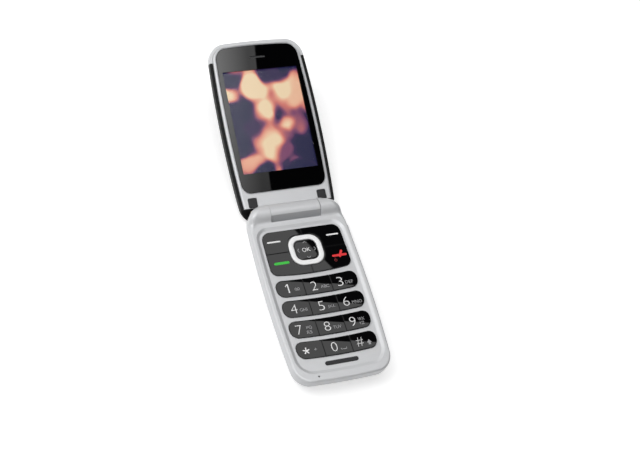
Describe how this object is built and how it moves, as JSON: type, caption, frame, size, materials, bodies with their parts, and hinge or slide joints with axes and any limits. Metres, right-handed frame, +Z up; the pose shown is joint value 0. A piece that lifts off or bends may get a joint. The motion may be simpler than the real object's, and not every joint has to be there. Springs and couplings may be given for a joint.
{
  "type": "flip phone",
  "caption": "Clamshell mobile phone with a number keypad, a navigation ring and a colour display in a hinged lid, lying open",
  "frame": {"origin": "middle of the flat underside of the lower half", "axes": "+Z up out of the keypad, +Y from the keypad towards the hinge, +X the reader's right"},
  "size_m": [0.057, 0.1952, 0.0295],
  "materials": {
    "silver_shell": "satin",
    "black_shell": "gloss",
    "key_black": "gloss",
    "ring_white": "gloss",
    "grey_plastic": "matte",
    "black_plastic": "matte",
    "ivory_plastic": "satin",
    "rubber_grey": "matte",
    "rubber_clear": "matte",
    "lens_clear": "gloss",
    "display": "gloss",
    "board_green": "satin",
    "film": "satin",
    "battery_wrap": "matte",
    "steel": "satin",
    "dark_steel": "satin",
    "gold_contact": "satin",
    "polyimide": "satin",
    "led_yellow": "gloss"
  },
  "bodies": {
    "lower_half": {"keypad_housing": "silver_shell", "rear_housing": "silver_shell", "battery": "battery_wrap", "battery_contacts": "gold_contact", "main_board": "board_green", "dome_sheet": "film", "key_mat": "rubber_clear", "loudspeaker": "black_plastic", "vibration_motor": "steel", "microphone": "gold_contact", "usb_socket": "steel", "sim_socket": "steel", "antenna": "gold_contact", "housing_screws": "dark_steel", "bumper_strip": "rubber_grey", "hinge_capsule": "dark_steel", "hinge_follower": "steel", "hinge_spring": "steel", "hinge_bush": "ivory_plastic"},
    "lid": {"lid_frame": "silver_shell", "lid_cover": "black_shell", "lid_end_cap": "silver_shell", "lens": "lens_clear", "lcd_module": "display", "lid_board": "board_green", "earpiece": "black_plastic", "earpiece_mesh": "dark_steel", "lid_dampers": "rubber_grey", "lid_screws": "dark_steel", "lid_magnet": "steel", "camera_module": "black_plastic", "camera_window": "lens_clear", "flash_led": "led_yellow", "hinge_shaft": "steel", "hinge_cam": "steel", "flex_cable": "polyimide"},
    "cover_slide": {"battery_cover": "silver_shell"},
    "volume_rocker": {"volume_key": "silver_shell"},
    "nav_tilter": {"nav_plate": "grey_plastic"},
    "nav_rocker": {"nav_ring": "ring_white"},
    "key_1_cap": {"key_1": "key_black"},
    "key_2_cap": {"key_2": "key_black"},
    "key_3_cap": {"key_3": "key_black"},
    "key_4_cap": {"key_4": "key_black"},
    "key_5_cap": {"key_5": "key_black"},
    "key_6_cap": {"key_6": "key_black"},
    "key_7_cap": {"key_7": "key_black"},
    "key_8_cap": {"key_8": "key_black"},
    "key_9_cap": {"key_9": "key_black"},
    "key_star_cap": {"key_star": "key_black"},
    "key_0_cap": {"key_0": "key_black"},
    "key_hash_cap": {"key_hash": "key_black"},
    "soft_key_left_cap": {"soft_key_left": "key_black"},
    "soft_key_right_cap": {"soft_key_right": "key_black"},
    "call_key_cap": {"call_key": "key_black"},
    "end_key_cap": {"end_key": "key_black"},
    "ok_key_cap": {"ok_key": "key_black"}
  },
  "joints": [
    {"name": "lid_hinge", "type": "hinge", "parent": "lower_half", "child": "lid", "pos_m": [0, 0.0463, 0.0079], "axis": [1, 0, 0], "range_deg": [0, 165.3]},
    {"name": "battery_cover_slide", "type": "slide", "parent": "lower_half", "child": "cover_slide", "axis": [0, -1, 0], "range_m": [0, 0.072]},
    {"name": "volume_rock", "type": "hinge", "parent": "lower_half", "child": "volume_rocker", "pos_m": [0.0258, 0.026, 0.0072], "axis": [0, 0, 1], "range_deg": [-1.5, 1.5], "stiffness_Nm_per_rad": 0.03},
    {"name": "nav_tilt_up_down", "type": "hinge", "parent": "lower_half", "child": "nav_tilter", "pos_m": [0, 0.0221, 0.0086], "axis": [1, 0, 0], "range_deg": [-1.5, 1.5], "stiffness_Nm_per_rad": 0.06},
    {"name": "nav_tilt_left_right", "type": "hinge", "parent": "nav_tilter", "child": "nav_rocker", "pos_m": [0, 0.0221, 0.0086], "axis": [0, 1, 0], "range_deg": [-1.5, 1.5], "stiffness_Nm_per_rad": 0.06},
    {"name": "key_1_press", "type": "slide", "parent": "lower_half", "child": "key_1_cap", "axis": [0, 0, -1], "range_m": [0, 0.0003], "stiffness_N_per_m": 300, "springref_m": -0.0002},
    {"name": "key_2_press", "type": "slide", "parent": "lower_half", "child": "key_2_cap", "axis": [0, 0, -1], "range_m": [0, 0.0003], "stiffness_N_per_m": 300, "springref_m": -0.0002},
    {"name": "key_3_press", "type": "slide", "parent": "lower_half", "child": "key_3_cap", "axis": [0, 0, -1], "range_m": [0, 0.0003], "stiffness_N_per_m": 300, "springref_m": -0.0002},
    {"name": "key_4_press", "type": "slide", "parent": "lower_half", "child": "key_4_cap", "axis": [0, 0, -1], "range_m": [0, 0.0003], "stiffness_N_per_m": 300, "springref_m": -0.0002},
    {"name": "key_5_press", "type": "slide", "parent": "lower_half", "child": "key_5_cap", "axis": [0, 0, -1], "range_m": [0, 0.0003], "stiffness_N_per_m": 300, "springref_m": -0.0002},
    {"name": "key_6_press", "type": "slide", "parent": "lower_half", "child": "key_6_cap", "axis": [0, 0, -1], "range_m": [0, 0.0003], "stiffness_N_per_m": 300, "springref_m": -0.0002},
    {"name": "key_7_press", "type": "slide", "parent": "lower_half", "child": "key_7_cap", "axis": [0, 0, -1], "range_m": [0, 0.0003], "stiffness_N_per_m": 300, "springref_m": -0.0002},
    {"name": "key_8_press", "type": "slide", "parent": "lower_half", "child": "key_8_cap", "axis": [0, 0, -1], "range_m": [0, 0.0003], "stiffness_N_per_m": 300, "springref_m": -0.0002},
    {"name": "key_9_press", "type": "slide", "parent": "lower_half", "child": "key_9_cap", "axis": [0, 0, -1], "range_m": [0, 0.0003], "stiffness_N_per_m": 300, "springref_m": -0.0002},
    {"name": "key_star_press", "type": "slide", "parent": "lower_half", "child": "key_star_cap", "axis": [0, 0, -1], "range_m": [0, 0.0003], "stiffness_N_per_m": 300, "springref_m": -0.0002},
    {"name": "key_0_press", "type": "slide", "parent": "lower_half", "child": "key_0_cap", "axis": [0, 0, -1], "range_m": [0, 0.0003], "stiffness_N_per_m": 300, "springref_m": -0.0002},
    {"name": "key_hash_press", "type": "slide", "parent": "lower_half", "child": "key_hash_cap", "axis": [0, 0, -1], "range_m": [0, 0.0003], "stiffness_N_per_m": 300, "springref_m": -0.0002},
    {"name": "soft_key_left_press", "type": "slide", "parent": "lower_half", "child": "soft_key_left_cap", "axis": [0, 0, -1], "range_m": [0, 0.0003], "stiffness_N_per_m": 300, "springref_m": -0.0002},
    {"name": "soft_key_right_press", "type": "slide", "parent": "lower_half", "child": "soft_key_right_cap", "axis": [0, 0, -1], "range_m": [0, 0.0003], "stiffness_N_per_m": 300, "springref_m": -0.0002},
    {"name": "call_key_press", "type": "slide", "parent": "lower_half", "child": "call_key_cap", "axis": [0, 0, -1], "range_m": [0, 0.0003], "stiffness_N_per_m": 300, "springref_m": -0.0002},
    {"name": "end_key_press", "type": "slide", "parent": "lower_half", "child": "end_key_cap", "axis": [0, 0, -1], "range_m": [0, 0.0003], "stiffness_N_per_m": 300, "springref_m": -0.0002},
    {"name": "ok_key_press", "type": "slide", "parent": "lower_half", "child": "ok_key_cap", "axis": [0, 0, -1], "range_m": [0, 0.0003], "stiffness_N_per_m": 300, "springref_m": -0.0002}
  ]
}
